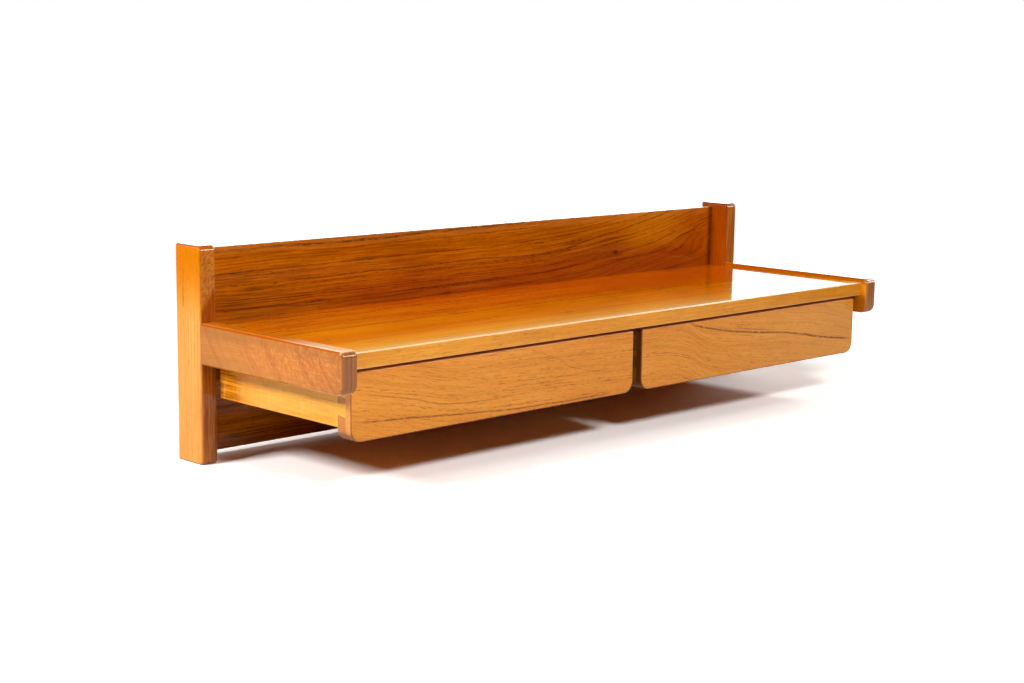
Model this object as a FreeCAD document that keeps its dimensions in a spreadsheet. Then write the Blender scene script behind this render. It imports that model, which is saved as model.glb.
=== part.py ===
"""Wall-hung teak desk: two uprights and two side rails carry a shelf, a back panel and two hung drawers.

Every piece is drawn in one desk frame, in millimetres: x from the middle of the desk, y from the wall, with
minus towards the room, and z from the feet of the uprights. Each piece's Placement then lowers it by
HANG_HEIGHT, so that the part's origin lies on the wall, midway between the entry holes of the two hanger
plates. The left half is drawn, and the right half is its mirror image.
"""
import FreeCAD, Part
import Sketcher
import os

doc = FreeCAD.newDocument("wall_desk")

# ---------------------------------------------------------------- driving dimensions
SIZES = [
    # the frame
    ("overall_width", 1000, "outside to outside of the uprights"),
    ("upright_width", 22.5, "along the wall; the side rails have the same thickness"),
    ("upright_depth", 50, "out from the wall"),
    ("upright_height", 263.5, "foot to top"),
    ("upright_front_round", 6.5, "front corners of foot and top, seen from the side"),
    ("upright_edge_round", 3, "round along the edges of the two sides"),
    ("upright_back_round", 1.5, "round along the edges at the wall"),
    ("hang_drop", 48, "entry holes of the hanger plates below the tops of the uprights"),
    ("rail_length", 263.5, "side rail, from the front of the upright to its nose"),
    ("rail_height", 50, "side rail, bottom to top"),
    ("rail_bottom", 122.2, "underside of the side rail above the feet"),
    ("rail_lower_round", 12, "lower corner of the nose"),
    ("rail_upper_round", 7.5, "upper corner of the nose"),
    ("rail_edge_round", 4, "round on the long edges of the rail"),
    # the back panel
    ("panel_setback", 4, "gap between the back panel and the wall"),
    ("panel_thickness", 16, "back panel"),
    ("panel_top_drop", 6, "top of the back panel below the tops of the uprights"),
    ("panel_foot_rise", 8.5, "bottom of the back panel above the feet"),
    ("lipping_thickness", 6, "solid strips that close the edges of panel and shelf"),
    ("lipping_round", 1, "arris of the strips on the panel, and the lower one on the shelf"),
    # the shelf
    ("shelf_thickness", 19, "shelf board and its front strip"),
    ("shelf_drop", 5, "shelf top below the tops of the rails"),
    ("shelf_recess", 11.2, "front of the shelf behind the noses of the rails"),
    ("shelf_front_round", 2, "upper arris of the shelf's front strip"),
    # the drawers
    ("drawer_side_gap", 4.5, "between a side rail and the drawer beside it"),
    ("drawer_middle_gap", 16, "between the two drawers"),
    ("drawer_top_gap", 4, "between the shelf and the top of a drawer front"),
    ("drawer_recess", 7.5, "face of a drawer behind the front of the shelf"),
    ("drawer_back_gap", 30, "between the back panel and the back end of a drawer"),
    ("front_height", 80, "drawer front"),
    ("front_thickness", 23, "drawer front"),
    ("front_lower_round", 15, "lower corners of a drawer front"),
    ("front_upper_round", 2.5, "upper corners of a drawer front"),
    ("front_edge_round", 1.8, "round along the edges of the face"),
    ("side_thickness", 12, "drawer side"),
    ("side_height", 63, "drawer side; the front hangs lower, as a finger pull"),
    ("side_top_drop", 1.5, "top of a drawer side below the top of its front"),
    ("tail_length", 14, "dovetail, from root to tip"),
    ("tail_width", 12.5, "dovetail at its root"),
    ("tail_flare", 2, "how much wider a dovetail is at its tip, on each edge"),
    ("tail_pitch", 22, "from one dovetail to the next"),
    ("back_thickness", 12, "drawer back"),
    ("back_inset", 10, "back of a drawer ahead of the ends of its sides"),
    ("back_housing", 4, "how far the drawer back is let into the sides"),
    ("back_top_drop", 8, "top of the drawer back below the sides"),
    ("bottom_thickness", 4, "drawer bottom"),
    ("bottom_rise", 5, "underside of the drawer bottom above the lower edges of the sides"),
    ("bottom_groove", 5, "how far the drawer bottom is let into sides and front"),
    ("bottom_play", 0.3, "room around the drawer bottom in its grooves"),
    # the runners
    ("runner_height", 10, "runner strip"),
    ("runner_grip", 5.5, "how far a runner reaches into the groove in a drawer side"),
    ("runner_end_play", 0.5, "between a runner's edge and the floor of its groove"),
    ("runner_top_play", 0.3, "between a runner's top and the groove above it"),
    ("runner_foot_play", 0.7, "between a runner's underside and the groove below it"),
    ("runner_stop_play", 0.3, "between a runner's front end and the closed drawer's front"),
    ("groove_drop", 6.5, "top of the runner groove below the top of the drawer side"),
    ("board_thickness", 12, "board under the middle of the shelf, which holds two runners"),
    ("board_depth", 27, "the same board, from the shelf downwards"),
    # dowels
    ("dowel_radius", 4, "dowels of panel, shelf and middle board"),
    ("rail_dowel_radius", 5, "dowels between upright and side rail"),
    ("rail_dowel_length", 50, "half of it in each piece"),
    ("rail_dowel_pitch", 22, "between the two dowels of a rail"),
    ("dowel_shallow", 10, "how far a dowel enters an upright, a rail or the panel"),
    ("dowel_deep", 20, "how far a dowel enters the edge of a board"),
    ("dowel_play", 0.1, "around a dowel in its hole"),
    ("dowel_end_play", 0.5, "beyond each end of a dowel"),
    ("panel_dowel_first", 30, "lowest panel dowel above the bottom of the panel"),
    ("panel_dowel_gap", 15, "highest panel dowel below the hanger plate"),
    ("shelf_dowel_first", 40, "first shelf dowel in front of the upright"),
    ("shelf_dowel_pitch", 75, "between the dowels at a shelf's end"),
    ("shelf_back_pitch", 210, "between the dowels along the shelf's back edge"),
    # screws
    ("screw_radius", 1.75, "shank of the runner screws"),
    ("screw_head_radius", 3.5, "countersunk head of the runner screws"),
    ("screw_head_height", 2, "countersunk head of the runner screws"),
    ("screw_slot_width", 0.9, "slot in a screw head"),
    ("screw_slot_depth", 0.8, "slot in a screw head"),
    ("screw_play", 0.05, "around a screw in its hole"),
    ("screw_sink", 0.3, "screw heads below the surface around them"),
    ("runner_screw_bite", 9, "how far a runner screw enters a side rail"),
    ("middle_screw_bite", 5, "how far a runner screw enters the middle board"),
    ("runner_screw_margin", 28, "from a runner's ends to its outermost screws"),
    ("small_screw_radius", 1.4, "shank of the screws in hanger plates and drawer bottoms"),
    ("small_screw_head_radius", 2.8, "countersunk head of these screws"),
    ("small_screw_head_height", 1.4, "countersunk head of these screws"),
    ("plate_screw_bite", 13, "how far a hanger plate's screw enters the upright"),
    ("bottom_screw_bite", 8, "how far a drawer bottom's screw enters the drawer back"),
    ("bottom_screw_margin", 60, "from a drawer back's ends to its outermost bottom screws"),
    # the hanger plates
    ("plate_width", 14, "hanger plate"),
    ("plate_thickness", 2, "hanger plate, let in flush with the upright's back"),
    ("plate_below", 21, "plate below the centre of its entry hole"),
    ("plate_above", 33, "plate above the centre of its entry hole"),
    ("plate_play", 0.15, "around a plate in its recess"),
    ("plate_screw_margin", 6.5, "from the ends of a plate to its screws"),
    ("entry_radius", 4.5, "entry hole for the head of the wall screw"),
    ("slot_radius", 2.3, "half the width of the slot above the entry hole"),
    ("slot_rise", 12, "from the entry hole to the top end of the slot"),
    ("head_room", 8, "depth of the pocket behind the plate for the wall screw's head"),
    ("head_room_margin", 1.5, "how much wider than the entry hole this pocket is, all round"),
]

sizes = doc.addObject("Spreadsheet::Sheet", "sizes")
for row, (alias, value, meaning) in enumerate(SIZES, 1):
    sizes.set(f"A{row}", meaning)
    sizes.set(f"B{row}", str(value))
    sizes.setAlias(f"B{row}", alias)
doc.recompute()

# ---------------------------------------------------------------- places worked out from them
# Each is an expression on the sheet, so that pieces which meet share one place.
HANG_HEIGHT = "(sizes.upright_height - sizes.hang_drop)"
OUTER = "(-sizes.overall_width / 2)"
INNER = f"({OUTER} + sizes.upright_width)"
UPRIGHT_MIDDLE = f"({OUTER} + sizes.upright_width / 2)"
INNER_SPAN = "(sizes.overall_width - 2 * sizes.upright_width)"
UPRIGHT_FRONT = "(-sizes.upright_depth)"

RAIL_FRONT = f"({UPRIGHT_FRONT} - sizes.rail_length)"
RAIL_TOP = "(sizes.rail_bottom + sizes.rail_height)"
RAIL_MIDDLE = "(sizes.rail_bottom + sizes.rail_height / 2)"

PANEL_FRONT = "(-sizes.panel_setback - sizes.panel_thickness)"
PANEL_MIDDLE = "(-sizes.panel_setback - sizes.panel_thickness / 2)"
PANEL_TOP = "(sizes.upright_height - sizes.panel_top_drop)"

SHELF_TOP = f"({RAIL_TOP} - sizes.shelf_drop)"
SHELF_UNDER = f"({SHELF_TOP} - sizes.shelf_thickness)"
SHELF_MIDDLE = f"({SHELF_TOP} - sizes.shelf_thickness / 2)"
SHELF_FRONT = f"({RAIL_FRONT} + sizes.shelf_recess)"

DRAWER_LEFT = f"({INNER} + sizes.drawer_side_gap)"
DRAWER_RIGHT = "(-sizes.drawer_middle_gap / 2)"
DRAWER_FACE = f"({SHELF_FRONT} + sizes.drawer_recess)"
DRAWER_BACK = f"({PANEL_FRONT} - sizes.drawer_back_gap)"
FRONT_BACK = f"({DRAWER_FACE} + sizes.front_thickness)"
FRONT_TOP = f"({SHELF_UNDER} - sizes.drawer_top_gap)"
FRONT_FOOT = f"({FRONT_TOP} - sizes.front_height)"
SIDE_TOP = f"({FRONT_TOP} - sizes.side_top_drop)"
SIDE_FOOT = f"({SIDE_TOP} - sizes.side_height)"
SIDE_MIDDLE = f"({SIDE_TOP} - sizes.side_height / 2)"
TAIL_TIP = f"({FRONT_BACK} - sizes.tail_length)"
INSIDE_LEFT = f"({DRAWER_LEFT} + sizes.side_thickness)"
INSIDE_RIGHT = f"({DRAWER_RIGHT} - sizes.side_thickness)"
INSIDE_WIDTH = f"({INSIDE_RIGHT} - {INSIDE_LEFT})"
BACK_REAR = f"({DRAWER_BACK} - sizes.back_inset)"
BACK_FRONT = f"({BACK_REAR} - sizes.back_thickness)"
BACK_MIDDLE = f"({BACK_REAR} - sizes.back_thickness / 2)"
BOTTOM_UNDER = f"({SIDE_FOOT} + sizes.bottom_rise)"
BOTTOM_TOP = f"({BOTTOM_UNDER} + sizes.bottom_thickness)"
BACK_HEIGHT = f"({SIDE_TOP} - sizes.back_top_drop - {BOTTOM_TOP})"

GROOVE_TOP = f"({SIDE_TOP} - sizes.groove_drop)"
RUNNER_TOP = f"({GROOVE_TOP} - sizes.runner_top_play)"
RUNNER_FOOT = f"({RUNNER_TOP} - sizes.runner_height)"
RUNNER_MIDDLE = f"({RUNNER_TOP} - sizes.runner_height / 2)"
GROOVE_HEIGHT = "(sizes.runner_top_play + sizes.runner_height + sizes.runner_foot_play)"
GROOVE_DEPTH = "(sizes.runner_grip + sizes.runner_end_play)"
RUNNER_FRONT = f"({FRONT_BACK} + sizes.runner_stop_play)"
RUNNER_LENGTH = f"({DRAWER_BACK} - {RUNNER_FRONT})"
OUTER_RUNNER = "(sizes.drawer_side_gap + sizes.runner_grip)"
BOARD_FACE = "(-sizes.board_thickness / 2)"
MIDDLE_RUNNER = f"({BOARD_FACE} - {DRAWER_RIGHT} + sizes.runner_grip)"

PLATE_FOOT = f"({HANG_HEIGHT} - sizes.plate_below)"
PLATE_TOP = f"({HANG_HEIGHT} + sizes.plate_above)"
PLATE_HEIGHT = "(sizes.plate_below + sizes.plate_above)"
HEAD_ROOM_RADIUS = "(sizes.entry_radius + sizes.head_room_margin)"

# Round things are made along +z and then turned to the direction in which they are driven or drilled.
TURNS = {
    "+z": FreeCAD.Rotation(),
    "-z": FreeCAD.Rotation(FreeCAD.Vector(1, 0, 0), 180),
    "+x": FreeCAD.Rotation(FreeCAD.Vector(0, 1, 0), 90),
    "-x": FreeCAD.Rotation(FreeCAD.Vector(0, 1, 0), -90),
    "+y": FreeCAD.Rotation(FreeCAD.Vector(1, 0, 0), -90),
    "-y": FreeCAD.Rotation(FreeCAD.Vector(1, 0, 0), 90),
}


# ---------------------------------------------------------------- how features are made
def value(expression):
    """The present value of an expression on the sheet, in millimetres."""
    result = sizes.evalExpression(expression)
    return float(getattr(result, "Value", result))


def at(feature, place, direction="+z"):
    """Turns a feature and binds its place to three expressions."""
    feature.Placement = FreeCAD.Placement(FreeCAD.Vector(), TURNS[direction])
    for axis, expression in zip("xyz", place):
        feature.setExpression(f"Placement.Base.{axis}", expression)
    return feature


def moved(place, direction, distance):
    """A place moved in a direction, such as -y, by a distance."""
    axis = "xyz".index(direction[1])
    return tuple(f"({p} {direction[0]} {distance})" if i == axis else p for i, p in enumerate(place))


def new_body(label):
    """An empty body for one piece, lowered so that the part's origin is midway between the hanger holes."""
    piece = doc.addObject("PartDesign::Body", label)
    piece.Label = label
    return at(piece, ("0", "0", f"(-{HANG_HEIGHT})"))


def box(piece, kind, name, place, lengths):
    """A box added to a piece or cut from it: kind is Additive or Subtractive, place its lowest corner."""
    feature = piece.newObject(f"PartDesign::{kind}Box", name)
    for side, expression in zip(("Length", "Width", "Height"), lengths):
        feature.setExpression(side, expression)
    return at(feature, place)


def drill(piece, name, place, direction, radius, depth):
    """A round hole in a piece, from the place in the direction given."""
    feature = piece.newObject("PartDesign::SubtractiveCylinder", name)
    feature.setExpression("Radius", radius)
    feature.setExpression("Height", depth)
    return at(feature, place, direction)


def outline(piece, name, role, offset, corners):
    """A closed sketch of straight lines on an origin plane of the piece, moved along the plane's normal."""
    plane = next(f for f in piece.Origin.OriginFeatures if f.Role == role)
    sketch = piece.newObject("Sketcher::SketchObject", name)
    sketch.AttachmentSupport = [(plane, "")]
    sketch.MapMode = "FlatFace"
    sketch.setExpression("AttachmentOffset.Base.z", offset)
    points = [FreeCAD.Vector(value(across), value(up), 0) for across, up in corners]
    for start, end in zip(points, points[1:] + points[:1]):
        sketch.addGeometry(Part.LineSegment(start, end))
    for line, (across, up) in enumerate(corners):
        before = (line - 1) % len(corners)
        sketch.addConstraint(Sketcher.Constraint("Coincident", before, 2, line, 1))
        for kind, expression in (("DistanceX", across), ("DistanceY", up)):
            number = sketch.addConstraint(Sketcher.Constraint(kind, -1, 1, line, 1, value(expression)))
            sketch.renameConstraint(number, f"{kind}_{line}")
            sketch.setExpression(f"Constraints.{kind}_{line}", expression)
    return sketch


def pad(piece, name, sketch, length):
    """Material from a sketch along its plane's normal."""
    feature = piece.newObject("PartDesign::Pad", name)
    feature.Profile = sketch
    feature.setExpression("Length", length)
    sketch.Visibility = False
    return feature


def pocket(piece, name, sketch, length):
    """A cut from a sketch along its plane's normal."""
    feature = piece.newObject("PartDesign::Pocket", name)
    feature.Profile = sketch
    feature.Reversed = True
    feature.setExpression("Length", length)
    return feature


def ease(piece, name, wanted, radius):
    """A fillet on those edges of the piece so far whose box (x0, x1, y0, y1, z0, z1) the test picks."""
    doc.recompute()
    base = piece.Tip
    edges = []
    for number, edge in enumerate(base.Shape.Edges, 1):
        b = edge.BoundBox
        if wanted(b.XMin, b.XMax, b.YMin, b.YMax, b.ZMin, b.ZMax):
            edges.append(f"Edge{number}")
    feature = piece.newObject("PartDesign::Fillet", name)
    feature.Base = (base, edges)
    feature.setExpression("Radius", radius)
    return feature


def near(a, b):
    return abs(a - b) < 1e-4


def mirrored(source, label):
    """The right-hand twin of a left-hand piece."""
    twin = doc.addObject("Part::Mirroring", label)
    twin.Label = label
    twin.Source = source
    twin.Normal = FreeCAD.Vector(1, 0, 0)
    return twin


def group(label, members):
    """Like pieces that share one node, each still a solid of its own."""
    node = doc.addObject("Part::Compound", label)
    node.Label = label
    node.Links = members
    return at(node, ("0", "0", f"(-{HANG_HEIGHT})"))


def dowel(name, place, direction, radius, length):
    """A round wooden dowel, from the place in the direction given."""
    pin = doc.addObject("Part::Cylinder", name)
    pin.setExpression("Radius", radius)
    pin.setExpression("Height", length)
    return at(pin, place, direction)


# Countersunk screws in the two gauges used: shank, head radius and head height.
RUNNER_SCREW = ("sizes.screw_radius", "sizes.screw_head_radius", "sizes.screw_head_height")
SMALL_SCREW = ("sizes.small_screw_radius", "sizes.small_screw_head_radius", "sizes.small_screw_head_height")


def screw(name, place, direction, gauge, reach):
    """A slotted countersunk screw, driven from a surface in the direction given until its tip is at reach."""
    shank_radius, head_radius, head_height = gauge
    head = doc.addObject("Part::Cone", f"{name}_head")
    head.setExpression("Radius1", head_radius)
    head.setExpression("Radius2", shank_radius)
    head.setExpression("Height", head_height)
    shank = doc.addObject("Part::Cylinder", f"{name}_shank")
    shank.setExpression("Radius", shank_radius)
    shank.setExpression("Height", f"({reach} - sizes.screw_sink - {head_height})")
    at(shank, ("0", "0", head_height))
    blank = doc.addObject("Part::Fuse", f"{name}_blank")
    blank.Base = head
    blank.Tool = shank
    slot = doc.addObject("Part::Box", f"{name}_slot")
    slot.setExpression("Length", f"(2 * {head_radius})")
    slot.setExpression("Width", "sizes.screw_slot_width")
    slot.setExpression("Height", "sizes.screw_slot_depth")
    at(slot, (f"(-{head_radius})", "(-sizes.screw_slot_width / 2)", "0"))
    made = doc.addObject("Part::Cut", name)
    made.Base = blank
    made.Tool = slot
    return at(made, moved(place, direction, "sizes.screw_sink"), direction)


def countersink(piece, name, place, direction, gauge, depth):
    """A through hole for such a screw, whose head lies a little below the surface it starts from."""
    shank_radius, head_radius, head_height = gauge
    mouth_radius = f"({head_radius} + sizes.screw_play)"
    hole_radius = f"({shank_radius} + sizes.screw_play)"
    drill(piece, f"{name}_mouth", place, direction, mouth_radius, "sizes.screw_sink")
    cone = piece.newObject("PartDesign::SubtractiveCone", f"{name}_seat")
    cone.setExpression("Radius1", mouth_radius)
    cone.setExpression("Radius2", hole_radius)
    cone.setExpression("Height", head_height)
    at(cone, moved(place, direction, "sizes.screw_sink"), direction)
    drill(piece, f"{name}_shank", place, direction, hole_radius, depth)


def pilot(piece, name, place, direction, gauge, bite):
    """The hole that such a screw bites into, a little deeper than its tip."""
    depth = f"({bite} + sizes.dowel_end_play)"
    drill(piece, name, place, direction, f"({gauge[0]} + sizes.screw_play)", depth)


def dowel_hole(piece, name, place, direction, radius, entry):
    """The hole for a dowel that enters the piece so far, a little wider and deeper than the dowel."""
    depth = f"({entry} + sizes.dowel_end_play)"
    drill(piece, name, place, direction, f"({radius} + sizes.dowel_play)", depth)


# ---------------------------------------------------------------- rows of fixings
RAIL_DOWELS = [f"({RAIL_MIDDLE} {sign} sizes.rail_dowel_pitch / 2)" for sign in "-+"]
LOWEST = "(sizes.panel_foot_rise + sizes.panel_dowel_first)"
HIGHEST = f"({PLATE_FOOT} - sizes.panel_dowel_gap)"
PANEL_DOWELS = [LOWEST, f"(({LOWEST} + {HIGHEST}) / 2)", HIGHEST]
SHELF_END_DOWELS = [
    f"({UPRIGHT_FRONT} - sizes.shelf_dowel_first - {i} * sizes.shelf_dowel_pitch)" for i in range(3)
]
SHELF_BACK_DOWELS = [f"({i} * sizes.shelf_back_pitch)" for i in (-2, -1, 0, 1, 2)]
RUNNER_SCREWS = [
    f"({RUNNER_FRONT} + sizes.runner_screw_margin)",
    f"(({RUNNER_FRONT} + {DRAWER_BACK}) / 2)",
    f"({DRAWER_BACK} - sizes.runner_screw_margin)",
]
PLATE_SCREWS = [f"({PLATE_FOOT} + sizes.plate_screw_margin)", f"({PLATE_TOP} - sizes.plate_screw_margin)"]
BOTTOM_SCREWS = [
    f"({INSIDE_LEFT} + sizes.bottom_screw_margin)",
    f"(({INSIDE_LEFT} + {INSIDE_RIGHT}) / 2)",
    f"({INSIDE_RIGHT} - sizes.bottom_screw_margin)",
]
TAILS = [f"({SIDE_MIDDLE} {sign} sizes.tail_pitch / 2)" for sign in "-+"]


def tail(middle):
    """The four corners (y, z) of one dovetail about its middle height, from lower root to upper root."""
    root = "sizes.tail_width / 2"
    tip = "sizes.tail_width / 2 + sizes.tail_flare"
    return [
        (FRONT_BACK, f"({middle} - {root})"),
        (TAIL_TIP, f"({middle} - ({tip}))"),
        (TAIL_TIP, f"({middle} + {tip})"),
        (FRONT_BACK, f"({middle} + {root})"),
    ]


# ---------------------------------------------------------------- uprights
def upright():
    piece = new_body("left_upright")
    size = ("sizes.upright_width", "sizes.upright_depth", "sizes.upright_height")
    box(piece, "Additive", "left_upright_blank", (OUTER, UPRIGHT_FRONT, "0"), size)
    front = value(UPRIGHT_FRONT)
    ease(
        piece, "upright_front_corners", lambda x0, x1, y0, y1, z0, z1: near(y1, front) and near(z0, z1),
        "sizes.upright_front_round",
    )
    ease(
        piece, "upright_side_edges", lambda x0, x1, y0, y1, z0, z1: near(x0, x1) and not near(y0, 0),
        "sizes.upright_edge_round",
    )
    ease(
        piece, "upright_back_edges", lambda x0, x1, y0, y1, z0, z1: near(y0, 0) and near(y1, 0),
        "sizes.upright_back_round",
    )
    for i, height in enumerate(RAIL_DOWELS):
        mouth = (UPRIGHT_MIDDLE, UPRIGHT_FRONT, height)
        depth = "sizes.rail_dowel_length / 2"
        dowel_hole(piece, f"upright_rail_hole_{i}", mouth, "+y", "sizes.rail_dowel_radius", depth)
    for i, height in enumerate(PANEL_DOWELS):
        mouth = (INNER, PANEL_MIDDLE, height)
        name = f"upright_panel_hole_{i}"
        dowel_hole(piece, name, mouth, "-x", "sizes.dowel_radius", "sizes.dowel_shallow")
    recess = (
        f"({UPRIGHT_MIDDLE} - sizes.plate_width / 2 - sizes.plate_play)",
        "(-sizes.plate_thickness)",
        f"({PLATE_FOOT} - sizes.plate_play)",
    )
    size = (
        "(sizes.plate_width + 2 * sizes.plate_play)",
        "sizes.plate_thickness",
        f"({PLATE_HEIGHT} + 2 * sizes.plate_play)",
    )
    box(piece, "Subtractive", "plate_recess", recess, size)
    for name, height in (("low", HANG_HEIGHT), ("high", f"({HANG_HEIGHT} + sizes.slot_rise)")):
        mouth = (UPRIGHT_MIDDLE, "(-sizes.plate_thickness)", height)
        drill(piece, f"head_room_{name}", mouth, "-y", HEAD_ROOM_RADIUS, "sizes.head_room")
    between = (
        f"({UPRIGHT_MIDDLE} - {HEAD_ROOM_RADIUS})",
        "(-sizes.plate_thickness - sizes.head_room)",
        HANG_HEIGHT,
    )
    box(
        piece, "Subtractive", "head_room_between", between,
        (f"(2 * {HEAD_ROOM_RADIUS})", "sizes.head_room", "sizes.slot_rise"),
    )
    for i, height in enumerate(PLATE_SCREWS):
        mouth = (UPRIGHT_MIDDLE, "(-sizes.plate_thickness)", height)
        pilot(piece, f"plate_pilot_{i}", mouth, "-y", SMALL_SCREW, "sizes.plate_screw_bite")
    return piece


# ---------------------------------------------------------------- side rails
def side_rail():
    piece = new_body("left_side_rail")
    corners = [
        (UPRIGHT_FRONT, "sizes.rail_bottom"),
        (RAIL_FRONT, "sizes.rail_bottom"),
        (RAIL_FRONT, RAIL_TOP),
        (UPRIGHT_FRONT, RAIL_TOP),
    ]
    sketch = outline(piece, "rail_outline", "YZ_Plane", OUTER, corners)
    pad(piece, "rail_blank", sketch, "sizes.upright_width")
    nose, butt = value(RAIL_FRONT), value(UPRIGHT_FRONT)
    foot, top = value("sizes.rail_bottom"), value(RAIL_TOP)
    ease(
        piece, "nose_lower", lambda x0, x1, y0, y1, z0, z1: near(y1, nose) and near(z1, foot),
        "sizes.rail_lower_round",
    )
    ease(
        piece, "nose_upper", lambda x0, x1, y0, y1, z0, z1: near(y1, nose) and near(z0, top),
        "sizes.rail_upper_round",
    )
    ease(
        piece, "rail_edges", lambda x0, x1, y0, y1, z0, z1: near(x0, x1) and not near(y0, butt),
        "sizes.rail_edge_round",
    )
    for i, height in enumerate(RAIL_DOWELS):
        mouth = (UPRIGHT_MIDDLE, UPRIGHT_FRONT, height)
        depth = "sizes.rail_dowel_length / 2"
        dowel_hole(piece, f"rail_upright_hole_{i}", mouth, "-y", "sizes.rail_dowel_radius", depth)
    for i, along in enumerate(SHELF_END_DOWELS):
        mouth = (INNER, along, SHELF_MIDDLE)
        dowel_hole(piece, f"rail_shelf_hole_{i}", mouth, "-x", "sizes.dowel_radius", "sizes.dowel_shallow")
    for i, along in enumerate(RUNNER_SCREWS):
        mouth = (INNER, along, RUNNER_MIDDLE)
        pilot(piece, f"rail_pilot_{i}", mouth, "-x", RUNNER_SCREW, "sizes.runner_screw_bite")
    return piece


# ---------------------------------------------------------------- back panel
def back_panel():
    foot = "(sizes.panel_foot_rise + sizes.lipping_thickness)"
    top = f"({PANEL_TOP} - sizes.lipping_thickness)"
    board = new_body("back_panel")
    size = (INNER_SPAN, "sizes.panel_thickness", f"({top} - {foot})")
    box(board, "Additive", "panel_blank", (INNER, PANEL_FRONT, foot), size)
    for i, height in enumerate(PANEL_DOWELS):
        for end, face, direction in (("left", INNER, "+x"), ("right", f"(-{INNER})", "-x")):
            mouth = (face, PANEL_MIDDLE, height)
            name = f"panel_{end}_hole_{i}"
            dowel_hole(board, name, mouth, direction, "sizes.dowel_radius", "sizes.dowel_deep")
    for i, along in enumerate(SHELF_BACK_DOWELS):
        mouth = (along, PANEL_FRONT, SHELF_MIDDLE)
        dowel_hole(board, f"panel_shelf_hole_{i}", mouth, "+y", "sizes.dowel_radius", "sizes.dowel_shallow")
    strips = []
    for label, low, edge in (
        ("back_panel_top_lipping", top, PANEL_TOP),
        ("back_panel_foot_lipping", "sizes.panel_foot_rise", "sizes.panel_foot_rise"),
    ):
        strip = new_body(label)
        size = (INNER_SPAN, "sizes.panel_thickness", "sizes.lipping_thickness")
        box(strip, "Additive", f"{label}_blank", (INNER, PANEL_FRONT, low), size)
        height = value(edge)
        ease(
            strip, f"{label}_arris",
            lambda x0, x1, y0, y1, z0, z1: near(y0, y1) and near(z0, height) and near(z1, height),
            "sizes.lipping_round",
        )
        strips.append(strip)
    return [board, *strips]


# ---------------------------------------------------------------- shelf
def shelf():
    board = new_body("shelf_board")
    joint = f"({SHELF_FRONT} + sizes.lipping_thickness)"
    size = (INNER_SPAN, f"({PANEL_FRONT} - {joint})", "sizes.shelf_thickness")
    box(board, "Additive", "shelf_blank", (INNER, joint, SHELF_UNDER), size)
    for i, along in enumerate(SHELF_END_DOWELS):
        for end, face, direction in (("left", INNER, "+x"), ("right", f"(-{INNER})", "-x")):
            mouth = (face, along, SHELF_MIDDLE)
            name = f"shelf_{end}_hole_{i}"
            dowel_hole(board, name, mouth, direction, "sizes.dowel_radius", "sizes.dowel_deep")
        mouth = ("0", along, SHELF_UNDER)
        dowel_hole(board, f"shelf_board_hole_{i}", mouth, "+z", "sizes.dowel_radius", "sizes.dowel_shallow")
    for i, along in enumerate(SHELF_BACK_DOWELS):
        mouth = (along, PANEL_FRONT, SHELF_MIDDLE)
        dowel_hole(board, f"shelf_back_hole_{i}", mouth, "-y", "sizes.dowel_radius", "sizes.dowel_deep")
    strip = new_body("shelf_front_lipping")
    size = (INNER_SPAN, "sizes.lipping_thickness", "sizes.shelf_thickness")
    box(strip, "Additive", "shelf_lipping_blank", (INNER, SHELF_FRONT, SHELF_UNDER), size)
    front, top, under = value(SHELF_FRONT), value(SHELF_TOP), value(SHELF_UNDER)
    ease(
        strip, "shelf_upper_arris", lambda x0, x1, y0, y1, z0, z1: near(y1, front) and near(z0, top),
        "sizes.shelf_front_round",
    )
    ease(
        strip, "shelf_lower_arris", lambda x0, x1, y0, y1, z0, z1: near(y1, front) and near(z1, under),
        "sizes.lipping_round",
    )
    return [board, strip]


# ---------------------------------------------------------------- runners and the board between the drawers
def middle_board():
    piece = new_body("middle_runner_board")
    place = (BOARD_FACE, RUNNER_FRONT, f"({SHELF_UNDER} - sizes.board_depth)")
    size = ("sizes.board_thickness", f"({PANEL_FRONT} - {RUNNER_FRONT})", "sizes.board_depth")
    box(piece, "Additive", "middle_board_blank", place, size)
    for i, along in enumerate(SHELF_END_DOWELS):
        mouth = ("0", along, SHELF_UNDER)
        dowel_hole(piece, f"board_shelf_hole_{i}", mouth, "-z", "sizes.dowel_radius", "sizes.dowel_shallow")
    for i, along in enumerate(RUNNER_SCREWS):
        for end, face, direction in (("left", BOARD_FACE, "+x"), ("right", f"(-{BOARD_FACE})", "-x")):
            mouth = (face, along, RUNNER_MIDDLE)
            name = f"board_{end}_pilot_{i}"
            pilot(piece, name, mouth, direction, RUNNER_SCREW, "sizes.middle_screw_bite")
    return piece


def runner(label, left, width, face, direction):
    """A runner strip, with countersunk screw holes drilled from the given face."""
    piece = new_body(label)
    size = (width, RUNNER_LENGTH, "sizes.runner_height")
    box(piece, "Additive", f"{label}_blank", (left, RUNNER_FRONT, RUNNER_FOOT), size)
    for i, along in enumerate(RUNNER_SCREWS):
        mouth = (face, along, RUNNER_MIDDLE)
        countersink(piece, f"{label}_hole_{i}", mouth, direction, RUNNER_SCREW, width)
    return piece


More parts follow.
